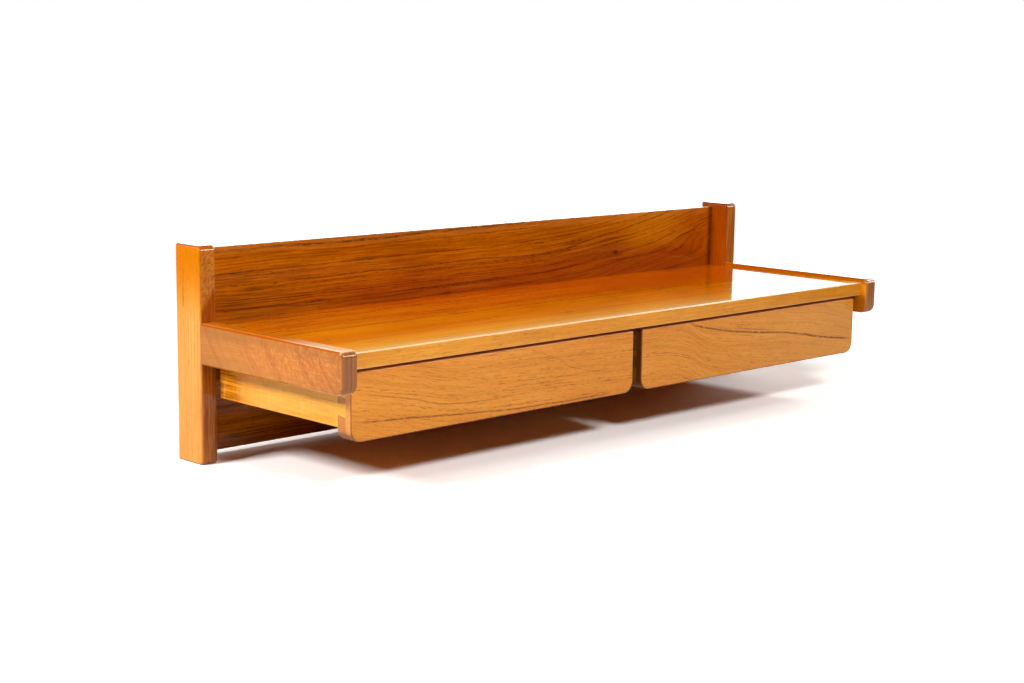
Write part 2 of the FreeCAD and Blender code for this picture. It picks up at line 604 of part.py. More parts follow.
# ---------------------------------------------------------------- hanger plates
def hanger_plate():
    piece = new_body("left_hanger_plate")
    face = "(-sizes.plate_thickness)"
    place = (f"({UPRIGHT_MIDDLE} - sizes.plate_width / 2)", face, PLATE_FOOT)
    size = ("sizes.plate_width", "sizes.plate_thickness", PLATE_HEIGHT)
    box(piece, "Additive", "plate_blank", place, size)
    entry = (UPRIGHT_MIDDLE, face, HANG_HEIGHT)
    drill(piece, "entry_hole", entry, "+y", "sizes.entry_radius", "sizes.plate_thickness")
    slot_end = (UPRIGHT_MIDDLE, face, f"({HANG_HEIGHT} + sizes.slot_rise)")
    drill(piece, "slot_end", slot_end, "+y", "sizes.slot_radius", "sizes.plate_thickness")
    slot = (f"({UPRIGHT_MIDDLE} - sizes.slot_radius)", face, HANG_HEIGHT)
    size = ("(2 * sizes.slot_radius)", "sizes.plate_thickness", "sizes.slot_rise")
    box(piece, "Subtractive", "slot", slot, size)
    for i, height in enumerate(PLATE_SCREWS):
        mouth = (UPRIGHT_MIDDLE, "0", height)
        countersink(piece, f"plate_hole_{i}", mouth, "-y", SMALL_SCREW, "sizes.plate_thickness")
    return piece


# ---------------------------------------------------------------- drawers
def drawer_front():
    piece = new_body("left_drawer_front")
    corners = [
        (DRAWER_LEFT, FRONT_FOOT),
        (DRAWER_RIGHT, FRONT_FOOT),
        (DRAWER_RIGHT, FRONT_TOP),
        (DRAWER_LEFT, FRONT_TOP),
    ]
    sketch = outline(piece, "front_outline", "XZ_Plane", f"(-{FRONT_BACK})", corners)
    pad(piece, "front_blank", sketch, "sizes.front_thickness")
    foot, top, face = value(FRONT_FOOT), value(FRONT_TOP), value(DRAWER_FACE)
    ease(
        piece, "front_lower", lambda x0, x1, y0, y1, z0, z1: near(x0, x1) and near(z1, foot),
        "sizes.front_lower_round",
    )
    ease(
        piece, "front_upper", lambda x0, x1, y0, y1, z0, z1: near(x0, x1) and near(z0, top),
        "sizes.front_upper_round",
    )
    ease(piece, "face_edges", lambda x0, x1, y0, y1, z0, z1: near(y1, face), "sizes.front_edge_round")
    for i, middle in enumerate(TAILS):
        for end, start in (("left", DRAWER_LEFT), ("right", INSIDE_RIGHT)):
            socket = outline(piece, f"{end}_socket_{i}_outline", "YZ_Plane", start, tail(middle))
            pocket(piece, f"{end}_socket_{i}", socket, "sizes.side_thickness")
    place = (
        f"({INSIDE_LEFT} - sizes.bottom_groove - sizes.bottom_play)",
        f"({FRONT_BACK} - sizes.bottom_groove - sizes.bottom_play)",
        f"({BOTTOM_UNDER} - sizes.bottom_play)",
    )
    size = (
        f"({INSIDE_WIDTH} + 2 * sizes.bottom_groove + 2 * sizes.bottom_play)",
        "(sizes.bottom_groove + sizes.bottom_play)",
        "(sizes.bottom_thickness + 2 * sizes.bottom_play)",
    )
    box(piece, "Subtractive", "front_bottom_groove", place, size)
    return piece


def drawer_side(label, outside, runner_groove, bottom_groove, housing):
    """A drawer side from its left face, with the left ends of its three grooves."""
    piece = new_body(label)
    corners = [(DRAWER_BACK, SIDE_FOOT), (FRONT_BACK, SIDE_FOOT)]
    for middle in TAILS:
        corners += tail(middle)
    corners += [(FRONT_BACK, SIDE_TOP), (DRAWER_BACK, SIDE_TOP)]
    sketch = outline(piece, f"{label}_outline", "YZ_Plane", outside, corners)
    pad(piece, f"{label}_blank", sketch, "sizes.side_thickness")
    length = f"({DRAWER_BACK} - {FRONT_BACK})"
    place = (runner_groove, FRONT_BACK, f"({GROOVE_TOP} - {GROOVE_HEIGHT})")
    box(piece, "Subtractive", f"{label}_runner_groove", place, (GROOVE_DEPTH, length, GROOVE_HEIGHT))
    place = (bottom_groove, FRONT_BACK, f"({BOTTOM_UNDER} - sizes.bottom_play)")
    size = (
        "(sizes.bottom_groove + sizes.bottom_play)",
        length,
        "(sizes.bottom_thickness + 2 * sizes.bottom_play)",
    )
    box(piece, "Subtractive", f"{label}_bottom_groove", place, size)
    place = (housing, BACK_FRONT, BOTTOM_TOP)
    size = ("sizes.back_housing", "sizes.back_thickness", BACK_HEIGHT)
    box(piece, "Subtractive", f"{label}_housing", place, size)
    return piece


def drawer_back():
    piece = new_body("left_drawer_back")
    place = (f"({INSIDE_LEFT} - sizes.back_housing)", BACK_FRONT, BOTTOM_TOP)
    size = (
        f"({INSIDE_WIDTH} + 2 * sizes.back_housing)",
        "sizes.back_thickness",
        BACK_HEIGHT,
    )
    box(piece, "Additive", "drawer_back_blank", place, size)
    for i, across in enumerate(BOTTOM_SCREWS):
        mouth = (across, BACK_MIDDLE, BOTTOM_TOP)
        pilot(piece, f"drawer_back_pilot_{i}", mouth, "+z", SMALL_SCREW, "sizes.bottom_screw_bite")
    return piece


def drawer_bottom():
    piece = new_body("left_drawer_bottom")
    left = f"({INSIDE_LEFT} - sizes.bottom_groove)"
    front = f"({FRONT_BACK} - sizes.bottom_groove)"
    size = (
        f"({INSIDE_WIDTH} + 2 * sizes.bottom_groove)",
        f"({BACK_REAR} - {FRONT_BACK} + sizes.bottom_groove)",
        "sizes.bottom_thickness",
    )
    box(piece, "Additive", "drawer_bottom_blank", (left, front, BOTTOM_UNDER), size)
    for i, across in enumerate(BOTTOM_SCREWS):
        mouth = (across, BACK_MIDDLE, BOTTOM_UNDER)
        countersink(piece, f"drawer_bottom_hole_{i}", mouth, "+z", SMALL_SCREW, "sizes.bottom_thickness")
    return piece


def drawer():
    """The pieces of the left drawer; its bottom's screws are a group of their own."""
    outer_side = drawer_side(
        "left_drawer_outer_side",
        outside=DRAWER_LEFT,
        runner_groove=DRAWER_LEFT,
        bottom_groove=f"({INSIDE_LEFT} - sizes.bottom_groove - sizes.bottom_play)",
        housing=f"({INSIDE_LEFT} - sizes.back_housing)",
    )
    inner_side = drawer_side(
        "left_drawer_inner_side",
        outside=INSIDE_RIGHT,
        runner_groove=f"({DRAWER_RIGHT} - {GROOVE_DEPTH})",
        bottom_groove=INSIDE_RIGHT,
        housing=INSIDE_RIGHT,
    )
    reach = "(sizes.bottom_thickness + sizes.bottom_screw_bite)"
    screws = [
        screw(f"bottom_screw_{i}", (across, BACK_MIDDLE, BOTTOM_UNDER), "+z", SMALL_SCREW, reach)
        for i, across in enumerate(BOTTOM_SCREWS)
    ]
    return [
        drawer_front(), outer_side, inner_side, drawer_back(), drawer_bottom(),
        group("left_drawer_bottom_screws", screws),
    ]


# ---------------------------------------------------------------- dowels and screws of the fixed frame
def frame_dowels():
    """Five groups of dowels, with those of both sides of the desk in one group."""
    rail, panel, shelf_end, shelf_back, board = [], [], [], [], []
    half = "(sizes.rail_dowel_length / 2)"
    length = "(sizes.dowel_shallow + sizes.dowel_deep)"
    for side, mirror, inwards in (("left", "", "+x"), ("right", "-", "-x")):
        middle, inner = f"({mirror}{UPRIGHT_MIDDLE})", f"({mirror}{INNER})"
        for i, height in enumerate(RAIL_DOWELS):
            start = (middle, f"({UPRIGHT_FRONT} - {half})", height)
            name = f"{side}_rail_dowel_{i}"
            rail.append(dowel(name, start, "+y", "sizes.rail_dowel_radius", "sizes.rail_dowel_length"))
        outwards = "-x" if inwards == "+x" else "+x"
        for i, height in enumerate(PANEL_DOWELS):
            start = moved((inner, PANEL_MIDDLE, height), outwards, "sizes.dowel_shallow")
            panel.append(dowel(f"{side}_panel_dowel_{i}", start, inwards, "sizes.dowel_radius", length))
        for i, along in enumerate(SHELF_END_DOWELS):
            start = moved((inner, along, SHELF_MIDDLE), outwards, "sizes.dowel_shallow")
            shelf_end.append(dowel(f"{side}_shelf_dowel_{i}", start, inwards, "sizes.dowel_radius", length))
    for i, along in enumerate(SHELF_BACK_DOWELS):
        start = (along, f"({PANEL_FRONT} - sizes.dowel_deep)", SHELF_MIDDLE)
        shelf_back.append(dowel(f"shelf_back_dowel_{i}", start, "+y", "sizes.dowel_radius", length))
    for i, along in enumerate(SHELF_END_DOWELS):
        start = ("0", along, f"({SHELF_UNDER} - sizes.dowel_shallow)")
        short = "(2 * sizes.dowel_shallow)"
        board.append(dowel(f"board_dowel_{i}", start, "+z", "sizes.dowel_radius", short))
    return [
        group("rail_dowels", rail),
        group("back_panel_dowels", panel),
        group("shelf_end_dowels", shelf_end),
        group("shelf_back_dowels", shelf_back),
        group("middle_board_dowels", board),
    ]


def frame_screws():
    """The screws of the runners and of the hanger plates, on both sides of the desk."""
    outer, middle, plates = [], [], []
    for side, mirror, inwards, outwards in (("left", "", "+x", "-x"), ("right", "-", "-x", "+x")):
        for i, along in enumerate(RUNNER_SCREWS):
            face = (f"({mirror}({INNER} + {OUTER_RUNNER}))", along, RUNNER_MIDDLE)
            reach = f"({OUTER_RUNNER} + sizes.runner_screw_bite)"
            outer.append(screw(f"{side}_outer_screw_{i}", face, outwards, RUNNER_SCREW, reach))
            face = (f"({mirror}({BOARD_FACE} - {MIDDLE_RUNNER}))", along, RUNNER_MIDDLE)
            reach = f"({MIDDLE_RUNNER} + sizes.middle_screw_bite)"
            middle.append(screw(f"{side}_middle_screw_{i}", face, inwards, RUNNER_SCREW, reach))
        for i, height in enumerate(PLATE_SCREWS):
            face = (f"({mirror}{UPRIGHT_MIDDLE})", "0", height)
            reach = "(sizes.plate_thickness + sizes.plate_screw_bite)"
            plates.append(screw(f"{side}_plate_screw_{i}", face, "-y", SMALL_SCREW, reach))
    return [
        group("outer_runner_screws", outer),
        group("middle_runner_screws", middle),
        group("hanger_plate_screws", plates),
    ]


# ---------------------------------------------------------------- the desk
left_pieces = [
    upright(),
    side_rail(),
    runner("left_outer_runner", INNER, OUTER_RUNNER, f"({INNER} + {OUTER_RUNNER})", "-x"),
    runner(
        "left_middle_runner", f"({BOARD_FACE} - {MIDDLE_RUNNER})", MIDDLE_RUNNER,
        f"({BOARD_FACE} - {MIDDLE_RUNNER})", "+x",
    ),
    hanger_plate(),
    *drawer(),
]
pieces = [
    *left_pieces,
    *[mirrored(piece, piece.Label.replace("left_", "right_")) for piece in left_pieces],
    *back_panel(),
    *shelf(),
    middle_board(),
    *frame_dowels(),
    *frame_screws(),
]
doc.recompute()

# ---------------------------------------------------------------- checked, then written
for item in doc.Objects:
    if "Invalid" in item.State or "Error" in item.State:
        raise RuntimeError(f"{item.Name} failed: {item.State}")
for piece in pieces:
    if piece.Shape.isNull() or not piece.Shape.isValid():
        raise RuntimeError(f"{piece.Label} has no valid shape")

os.makedirs("parts", exist_ok=True)
for piece in pieces:
    piece.Shape.exportStep(f"parts/{piece.Label}.step")
    print(f"{piece.Label}: {len(piece.Shape.Solids)} solid(s), {piece.Shape.Volume / 1000:.1f} cm3")
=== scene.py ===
"""Looks of a teak wall desk with two drawers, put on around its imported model. Lengths are metres."""
from math import pi, radians

import bpy
from mathutils import Matrix, Vector


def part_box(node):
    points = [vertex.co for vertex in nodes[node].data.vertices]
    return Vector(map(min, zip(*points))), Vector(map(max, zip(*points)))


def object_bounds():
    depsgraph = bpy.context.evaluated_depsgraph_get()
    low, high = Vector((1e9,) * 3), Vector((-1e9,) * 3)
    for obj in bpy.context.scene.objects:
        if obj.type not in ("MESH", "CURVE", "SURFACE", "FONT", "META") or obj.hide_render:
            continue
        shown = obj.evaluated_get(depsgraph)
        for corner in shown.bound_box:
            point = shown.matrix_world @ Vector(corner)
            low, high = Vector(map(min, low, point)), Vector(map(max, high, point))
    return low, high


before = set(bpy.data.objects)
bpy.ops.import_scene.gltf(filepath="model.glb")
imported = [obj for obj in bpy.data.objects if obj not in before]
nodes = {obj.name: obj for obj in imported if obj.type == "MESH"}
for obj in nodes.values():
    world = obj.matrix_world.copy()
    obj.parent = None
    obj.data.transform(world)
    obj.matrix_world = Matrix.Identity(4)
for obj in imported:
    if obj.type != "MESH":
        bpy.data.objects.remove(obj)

model_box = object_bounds()

# Camera
# It stands well to the left in front of the desk, a little above it, and looks slightly down on it.
# The heading turns from +Y towards +X, and the roll is that of a tripod set by hand.
EYE = Vector((-1.706765, -1.800214, 0.283148))
HEADING = radians(-44.53)
TILT = radians(9.3)
ROLL = radians(0.75)
LENS_MM = 63.23
SENSOR_MM = 36
NEAREST_SEEN = 0.01

lens = bpy.data.cameras.new("camera")
lens.lens = LENS_MM
lens.sensor_width = SENSOR_MM
lens.clip_start = NEAREST_SEEN
camera = bpy.data.objects.new("camera", lens)
level_turn = Matrix.Rotation(HEADING, 4, "Z") @ Matrix.Rotation(pi / 2 - TILT, 4, "X")
turn = level_turn @ Matrix.Rotation(ROLL, 4, "Z")
camera.matrix_world = Matrix.Translation(EYE) @ turn
bpy.context.scene.collection.objects.link(camera)
bpy.context.scene.camera = camera
bpy.context.scene.view_settings.view_transform = "Standard"


# Studio
# The desk stands on its uprights' feet on a pale floor in front of a white backdrop. Soft lamps light it
# from the left, the front and the right, and a long one from behind shines low across the lacquered shelf.
class Wire:
    """One value in a node tree. Arithmetic on wires adds Math nodes, and add() adds any other node."""

    def __init__(self, tree, socket=None):
        self.tree = tree
        self.socket = socket

    def add(self, kind, sockets=None, output=0, stops=(), **settings):
        """A new node's output. Its settings and the stops of its ramp or curve are set first, then its
        sockets, each from a wire or a plain value."""
        node = self.tree.nodes.new("ShaderNode" + kind)
        for setting, choice in settings.items():
            setattr(node, setting, choice)
        if kind == "ValToRGB":
            for place, colour in stops[1:-1]:
                node.color_ramp.elements.new(place)
            for element, (place, colour) in zip(node.color_ramp.elements, stops):
                element.position = place
                element.color = colour
        if kind == "FloatCurve":
            curve = node.mapping.curves[0]
            for place, height in stops[1:-1]:
                curve.points.new(place, height)
            for point, (place, height) in zip(curve.points, stops):
                point.location = (place, height)
            node.mapping.update()
        for socket, value in (sockets or {}).items():
            if isinstance(value, Wire):
                self.tree.links.new(value.socket, node.inputs[socket])
            else:
                node.inputs[socket].default_value = value
        return Wire(self.tree, node.outputs[output] if node.outputs else None)

    def math(self, operation, *others, clamp=False):
        """A Math node on this wire and the others."""
        return self.add("Math", dict(enumerate((self, *others))), operation=operation, use_clamp=clamp)

    def ramp(self, start, end, low=0.0, high=1.0):
        """A smooth change of this value from low at the start to high at the end, and level outside."""
        sockets = {0: self, 1: start, 2: end, 3: low, 4: high}
        return self.add("MapRange", sockets, interpolation_type="SMOOTHSTEP")

    def __add__(self, other):
        return self.math("ADD", other)

    def __sub__(self, other):
        return self.math("SUBTRACT", other)

    def __rsub__(self, other):
        return self.add("Math", {0: other, 1: self}, operation="SUBTRACT")

    def __mul__(self, other):
        return self.math("MULTIPLY", other)

    def __truediv__(self, other):
        return self.math("DIVIDE", other)

    def __abs__(self):
        return self.math("ABSOLUTE")

    __radd__ = __add__
    __rmul__ = __mul__


def blank(owner):
    """The emptied node tree of a material or world, as a wire with no socket yet."""
    owner.use_nodes = True
    owner.node_tree.nodes.clear()
    return Wire(owner.node_tree)


def seen(tree):
    """Two masks: 1 on rays from the camera, and 1 on those that a glossy or clear surface sends on."""
    camera_ray, glossy_ray, clear_ray = (
        tree.add("LightPath", output=f"Is {kind} Ray") for kind in ("Camera", "Glossy", "Transmission"))
    return camera_ray, glossy_ray.math("ADD", clear_ray, clamp=True) * (1 - camera_ray)


# The camera sees a white backdrop all round. Gloss mirrors it only where a ray runs back and not steeply
# up, from the first number of each pair to the second. The desk itself gets next to no light from it.
SKY_LIGHT = 0.015
BACKDROP_SIDES = (-0.3, 0.1)
BACKDROP_TOP = (0.5, 0.25)
WHITE = (1, 1, 1, 1)
world = bpy.data.worlds.new("studio")
bpy.context.scene.world = world
sky = blank(world)
seen_straight, seen_by_gloss = seen(sky)
outward = sky.add("TexCoord", output="Generated")
back, up = (sky.add("SeparateXYZ", {0: outward}, output=axis) for axis in "YZ")
backdrop = back.ramp(*BACKDROP_SIDES) * up.ramp(*BACKDROP_TOP)
sky_strength = (seen_straight + seen_by_gloss * backdrop) * (1 - SKY_LIGHT) + SKY_LIGHT
background = sky.add("Background", {"Color": WHITE, "Strength": sky_strength})
sky.add("OutputWorld", {"Surface": background})

# The camera sees the floor whiter than it shines back on the desk. Gloss mirrors the floor only within
# GLOSS_REACH of the desk and behind GLOSS_FRONT. Past the box of SHADOW_REACH, where no shadow falls, the
# floor sweeps over into the backdrop's even white.
FLOOR_SIZE = 16.0
FLOOR_WHITE = 0.72
FLOOR_WHITE_SEEN = 1.45
FLOOR_WARMTH = (1.0, 0.985, 0.965)
GLOSS_REACH = (1.8, 1.35)
GLOSS_FRONT = (-1.5, -1.0)
SHADOW_REACH = (0.75, 0.4, 10.0)
SWEEP_START = 0.15
SWEEP_END = 1.2
feet = model_box[0][2]
half = FLOOR_SIZE / 2
corners = [(-half, -half, feet), (half, -half, feet), (half, half, feet), (-half, half, feet)]
floor_mesh = bpy.data.meshes.new("floor")
floor_mesh.from_pydata(corners, [], [(0, 1, 2, 3)])
floor = bpy.data.objects.new("floor", floor_mesh)
bpy.context.scene.collection.objects.link(floor)
floor_paint = bpy.data.materials.new("floor_paint")
paint = blank(floor_paint)
spot = paint.add("TexCoord", output="Object")
place = paint.add("VectorMath", {0: spot}, operation="ABSOLUTE")
out_of_reach = paint.add("VectorMath", {0: place, 1: SHADOW_REACH}, operation="SUBTRACT")
outside = paint.add("VectorMath", {0: out_of_reach, 1: (0, 0, 0)}, operation="MAXIMUM")
far = paint.add("VectorMath", {0: outside}, output="Value", operation="LENGTH")
seen_straight, seen_by_gloss = seen(paint)
around = paint.add("VectorMath", {0: spot}, output="Value", operation="LENGTH").ramp(*GLOSS_REACH)
ahead = paint.add("SeparateXYZ", {0: spot}, output="Y").ramp(*GLOSS_FRONT)
seen_by_gloss_near = seen_by_gloss * around * ahead
out_of_gloss = seen_by_gloss - seen_by_gloss_near
white = seen_straight * (FLOOR_WHITE_SEEN - FLOOR_WHITE) + (1 - out_of_gloss) * FLOOR_WHITE
red, green, blue = (white * (1 - seen_straight * (1 - part)) for part in FLOOR_WARMTH)
matt = paint.add("BsdfDiffuse", {"Color": paint.add("CombineColor", {0: red, 1: green, 2: blue})})
glow = paint.add("Emission", {"Color": WHITE, "Strength": 1.0})
sweep = far.ramp(SWEEP_START, SWEEP_END) * (seen_straight + seen_by_gloss_near)
paint.add("OutputMaterial", {"Surface": paint.add("MixShader", {0: sweep, 1: matt, 2: glow})})
floor_mesh.materials.append(floor_paint)

LAMP_AIM = Vector((0, -0.15, -0.1))


def soft_lamp(name, toward, distance, size, white_level, lights=True):
    """An oblong lamp that faces the desk from a direction. A white surface that faces it at the desk
    renders at the white level given. Where lights is off, the lamp shows in gloss alone."""
    lamp = bpy.data.lights.new(name, "AREA")
    lamp.shape = "RECTANGLE"
    lamp.size, lamp.size_y = size
    lamp.energy = white_level * (pi * distance) ** 2
    holder = bpy.data.objects.new(name, lamp)
    direction = Vector(toward).normalized()
    facing = direction.to_track_quat("Z", "Y").to_matrix().to_4x4()
    holder.matrix_world = Matrix.Translation(LAMP_AIM + direction * distance) @ facing
    holder.visible_camera = False
    holder.visible_diffuse = lights
    bpy.context.scene.collection.objects.link(holder)


# The last one only draws bright lines along the rounded edges.
soft_lamp("side_lamp", (-0.84, 0.10, 0.50), distance=2.4, size=(0.7, 0.5), white_level=0.77)
soft_lamp("front_lamp", (-0.3, -0.78, 0.57), distance=2.4, size=(0.6, 0.3), white_level=0.67)
soft_lamp("edge_lamp", (0.7, -0.14, 0.5), distance=5.0, size=(2.4, 0.8), white_level=0.36)
soft_lamp("back_lamp", (1.9, 1.85, 0.62), distance=2.6, size=(3.0, 0.9), white_level=0.5)
soft_lamp("arris_lamp", (0.5, -0.76, 0.36), distance=4.0, size=(4.5, 0.8), white_level=1.2, lights=False)


# Uprights
# Two boards of solid teak, planed, rounded at their ends and clear lacquered. They carry everything
# else and hang on the wall. Their straight grain runs up and down.
def shade(red, green, blue):
    """The linear colour, with full cover, of three display values from 0 to 255."""
    def straight(value):
        return ((value / 255 + 0.055) / 1.055) ** 2.4 if value > 10 else value / 255 / 12.92
    return (straight(red), straight(green), straight(blue), 1.0)


# The faces of a board: its ends look along u and show end grain, its edges look along v, its sides along w.
ENDS, EDGES, SIDES = 0, 1, 2


class Board:
    """The lacquered wood of one piece, built up in a material's node tree.

    The figure fills the solid, so every face and end shows its own cut of the same growth. u runs
    along the grain, v across the main face and w into it, in metres from the centre. grain_v is v
    after the wood has wandered, bowed and run round its knots."""

    def __init__(self, name, node, turned, wander):
        low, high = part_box(node)
        self.material = bpy.data.materials.new(name)
        self.wood = blank(self.material)
        place = self.wood.add("TexCoord", output="Object")
        middle = self.wood.add("VectorMath", {0: place, 1: (low + high) / 2}, operation="SUBTRACT")
        self.u, self.v, self.w = self.parts(self.wood.add("Mapping", {0: middle, 2: turned}))
        facing = self.wood.add("Mapping", {0: self.wood.add("TexCoord", output="Normal"), 2: turned})
        self.facing = [abs(part) for part in self.parts(facing)]
        self.grain_v = self.v
        drift = self.cloud(0.2, 0.055) - 0.5
        ripple = self.cloud(0.03, 0.011, shift=0.7) - 0.5
        self.loose_v = self.v + drift * (2 * wander) + ripple * (0.5 * wander)
        self.grain_v = self.loose_v

    def parts(self, vector):
        """The three numbers of a vector."""
        return [self.wood.add("SeparateXYZ", {0: vector}, output=axis) for axis in "XYZ"]

    def cloud(self, long, wide, detail=2.0, shift=0.0):
        """Noise from 0 to 1 in patches about so long along the grain and so wide across it."""
        across = (self.grain_v + shift) / wide
        place = self.wood.add("CombineXYZ", {0: self.u / long, 1: across, 2: self.w / wide})
        return self.noise(place, detail)

    def noise(self, place, detail):
        """Noise from 0 to 1 over a vector, in patches about one unit across."""
        return self.wood.add("TexNoise", {"Vector": place, "Scale": 1.0, "Detail": detail})

    def streak(self, value, detail=1.0):
        """Noise from 0 to 1 that depends on one value alone."""
        sockets = {"W": value, "Scale": 1.0, "Detail": detail}
        return self.wood.add("TexNoise", sockets, noise_dimensions="1D")

    def faces(self, which, start=0.6, full=0.95):
        """A mask of the board's ends, edges or sides. It starts and is full where a surface faces that way
        by those shares."""
        return self.facing[which].ramp(start, full)

    def curve(self, points):
        """The v of a smooth curve through (u, v) points, at each place's u."""
        first, last = points[0][0], points[-1][0]
        lowest = min(height for _, height in points)
        rise = max(height for _, height in points) - lowest
        stops = [((along - first) / (last - first), (height - lowest) / rise) for along, height in points]
        along = (self.u - first) / (last - first)
        return self.wood.add("FloatCurve", {"Value": along}, stops=stops) * rise + lowest

    def bow(self, points):
        """Bends the growth lines so that they follow a curve of (u, v) points."""
        self.grain_v = self.grain_v - self.curve(points)

    def knot(self, at_u, at_v, radius):
        """Runs the growth lines round a small knot, and returns how dark its heart is."""
        off_u, off_v = (self.u - at_u) * (0.45 / radius), (self.v - at_v) / radius
        far = (off_u * off_u + off_v * off_v).math("SQRT")
        near = (far * far * -0.5).math("EXPONENT")
        self.grain_v = self.grain_v - near * off_v.ramp(-1.0, 1.0, low=-1.0) * (0.7 * radius)
        return far.ramp(0.7, 0.15)

    def grow(self, heart, ring, taper=0.0, early=0.35, edge=0.08):
        """Growth rings, which are shells round a heart line at (v, w). The taper brings the heart nearer
        along the grain, which turns the lines of a flat cut into nested arches. The dark late wood
        of a ring comes in from its early share on, and fades over its last share, the edge."""
        across = self.wood.add("CombineXYZ", {0: self.grain_v - heart[0], 1: self.w - heart[1]})
        from_heart = self.wood.add("VectorMath", {0: across}, output="Value", operation="LENGTH")
        self.shell = from_heart + self.u * taper
        age = self.shell / ring
        uneven = age + (self.streak(age * 0.35) - 0.5) * 2.4
        vigour = self.streak(age * 0.83, 2.0).ramp(0.35, 0.7)
        through = uneven.math("FRACT")
        self.late = through.ramp(early, 1 - edge) * through.ramp(1.0, 1 - edge) * vigour

    def tone(self, dark, middle, light, contrast, rings):
        """The wood's own colours in bands, tides, fibres and growth rings."""
        self.fibre = self.cloud(0.05, 0.0022, detail=3.0)
        self.dash_field = self.cloud(0.008, 0.0013, detail=1.5, shift=0.15)
        band = self.cloud(0.5, 0.03, shift=0.3)
        tide = self.cloud(0.22, 0.09, detail=3.0, shift=0.9)
        figure = 0.5 + (band - 0.5) * (1.3 * contrast) + (tide - 0.5) * (1.2 * contrast)
        figure = figure + (self.fibre - 0.5) * (1.5 * contrast) - self.late * rings
        stops = ((0.1, dark), (0.5, middle), (0.9, light))
        self.colour = self.wood.add("ValToRGB", {0: figure}, stops=stops)

    def over(self, colour, share):
        """Lays a plain colour over the wood's own by a share."""
        self.colour = self.wood.add("Mix", {0: share, 6: self.colour, 7: colour}, output=2, data_type="RGBA")

    def cut(self, which, colour, share):
        """Another tone on the board's ends, edges or sides, stronger in the soft fibres."""
        self.over(colour, self.faces(which) * (self.fibre.ramp(0.3, 0.7, low=1.0, high=0.6) * share))

    def mark(self, ink, rings, pores, streaks):
        """Dark lines of late wood, long threads and short open pores, all broken up along the grain."""
        self.ink = ink
        broken = self.cloud(0.035, 0.004, shift=0.5).ramp(0.38, 0.6)
        self.over(ink, self.late * broken * self.dash_field.ramp(0.36, 0.6, low=0.3) * rings)
        thread = self.cloud(0.12, 0.003, shift=0.61).ramp(0.56, 0.72)
        self.over(ink, thread * self.dash_field.ramp(0.36, 0.6, low=0.2) * streaks)
        dashes = self.dash_field.ramp(0.56, 0.72)
        long_dashes = self.cloud(0.022, 0.0016, detail=1.5, shift=0.45).ramp(0.58, 0.72)
        self.pores = dashes.math("MAXIMUM", long_dashes)
        self.over(ink, self.pores * (0.4 + self.late * 0.6) * pores)

    def line(self, half_width, strength, points):
        """One dark growth line along a curve of (u, v) points."""
        start, end = points[0][0], points[-1][0]
        off = abs(self.loose_v - self.curve(points)) / (half_width * (0.5 + self.fibre))
        ends = self.u.ramp(start, start + 0.03) * self.u.ramp(end, end - 0.03)
        grit = self.dash_field.ramp(0.3, 0.58, low=0.35)
        self.over(self.ink, off.ramp(1.0, 0.1) * ends * grit * strength)

    def edge_wear_and_light(self, colour, share):
        """Another tone along the rounded edges. Dark, it is partly lacquer pulled thin and partly a painted
        dark reflection; pale, it is a painted highlight.
        """
        ends, edges, sides = self.facing
        squareness = ends.math("MAXIMUM", edges).math("MAXIMUM", sides)
        self.round = squareness.ramp(0.995, 0.85)
        self.over(colour, self.round * share)

    def lacquer(self, *pieces, coat, haze):
        """Clear lacquer over the wood, duller with haze, and the material put on the pieces."""
        height = 0.6 - self.pores * 0.6 + self.fibre * 0.15
        bump = self.wood.add("Bump", {"Height": height, "Strength": 0.3, "Distance": 0.0003})
        surface = self.wood.add("BsdfPrincipled", {
            "Base Color": self.colour, "Roughness": 0.5 + self.pores * 0.2, "Normal": bump,
            "Specular IOR Level": 0.0, "Coat Weight": coat, "Coat Roughness": haze, "Coat IOR": 1.5})
        self.wood.add("OutputMaterial", {"Surface": surface})
        for piece in pieces:
            nodes[piece].data.materials[0] = self.material


UP_GRAIN = (0, pi / 2, 0)
UPRIGHT_RING = 0.004
upright = Board("left_upright_teak", "left_upright", UP_GRAIN, wander=0.002)
upright.grow(heart=(0.09, -0.03), ring=UPRIGHT_RING)
upright.tone(shade(204, 112, 26), shade(232, 152, 54), shade(246, 178, 76), contrast=0.45, rings=0.12)
upper_end = upright.u.ramp(0.04, 0.115, high=0.9)
upright.over(shade(214, 118, 0), upper_end)

# The narrow front face is cut the other way, and shows brown fibres.
front_face = upright.faces(EDGES)
brown_fibre = upright.fibre.ramp(0.4, 0.6)
upper_half = upright.u.ramp(-0.03, 0.03)
upright.over(shade(176, 100, 26), front_face)
upright.over(shade(120, 54, 2), front_face * brown_fibre * 0.75)
upright.over(shade(146, 60, 0), front_face * upper_half * (0.5 + brown_fibre * 0.4))

# At the top of that face the grain turns over a slanted line into a short curl.
above_slant = (upright.u + upright.w * 1.4).ramp(0.062, 0.076)
along_curl = (upright.u + upright.w) / 0.0022
across_curl = (upright.u - upright.w) / 0.006
curl_place = upright.wood.add("CombineXYZ", {0: along_curl, 1: across_curl, 2: upright.v / 0.003})
curl = upright.noise(curl_place, detail=2.0)
upright.over(shade(198, 122, 42), front_face * above_slant * curl.ramp(0.3, 0.6, low=0.5, high=0.95))
upright.over(shade(118, 58, 16), front_face * above_slant * curl.ramp(0.5, 0.36) * 0.4)
upright.cut(ENDS, shade(150, 72, 18), 0.8)
upright.mark(shade(120, 56, 8), rings=0.25, pores=0.4, streaks=0.35)
# Its rounded edges are darker: partly lacquer pulled thin, partly a painted dark reflection.
upright.edge_wear_and_light(shade(150, 66, 8), 0.45)
upright.lacquer("left_upright", coat=0.9, haze=0.08)

